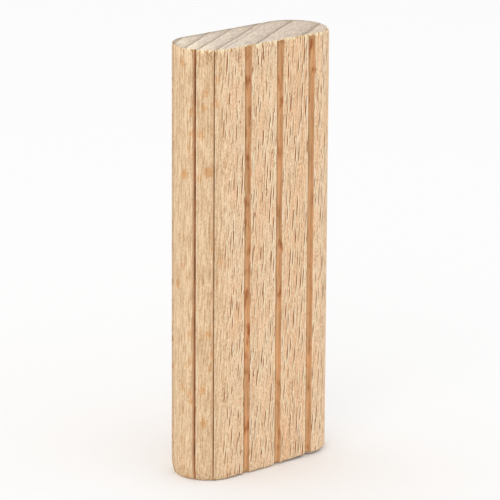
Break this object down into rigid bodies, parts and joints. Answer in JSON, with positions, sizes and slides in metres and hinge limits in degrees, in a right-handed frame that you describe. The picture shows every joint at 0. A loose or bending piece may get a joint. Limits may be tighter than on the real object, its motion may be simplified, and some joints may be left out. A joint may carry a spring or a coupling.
{
  "type": "loose tenon",
  "caption": "Straight wooden loose tenon with fully rounded edges, square-cut ends and lengthwise glue grooves, glued into two facing mortises to join wood.",
  "frame": {"origin": "middle of the lower end, where the tenon stands", "axes": "+Z along the length and the grain, X across the width between the rounded edges, Y through the thickness between the broad faces"},
  "size_m": [0.021, 0.008, 0.05],
  "materials": {
    "beech": "bare moulded beech, unfinished and matt"
  },
  "bodies": {
    "root": {"loose_tenon": "beech"}
  },
  "joints": []
}
